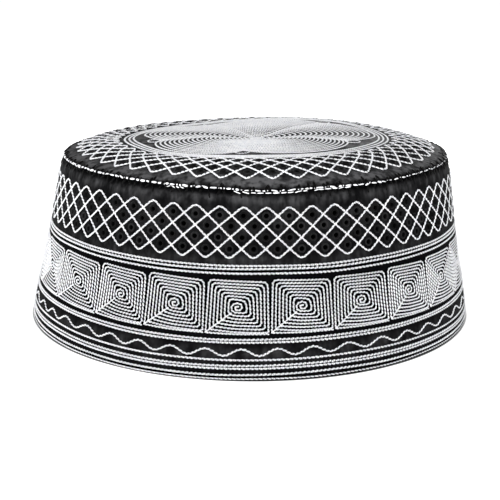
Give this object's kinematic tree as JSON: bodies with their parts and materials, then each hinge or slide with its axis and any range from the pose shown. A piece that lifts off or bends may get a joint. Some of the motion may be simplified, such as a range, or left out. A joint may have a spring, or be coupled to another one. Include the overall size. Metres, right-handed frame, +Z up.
{
  "type": "kufi, embroidered cap",
  "caption": "Round embroidered cap with an upright side band and a low domed crown, open below for the head, in black satin with white thread.",
  "frame": {"origin": "middle of the rim, on the surface that the cap stands on", "axes": "+Z up through the crown, -Y towards the front of the cap, +X to its right as seen from the front"},
  "size_m": [0.19, 0.19, 0.0773],
  "materials": {
    "black_satin": "black woven satin, soft low sheen",
    "white_thread": "bright white chain stitch in twisted thread",
    "black_thread": "black stitching thread, a little glossy"
  },
  "bodies": {
    "root": {"band": "black_satin", "crown": "black_satin"}
  },
  "joints": []
}
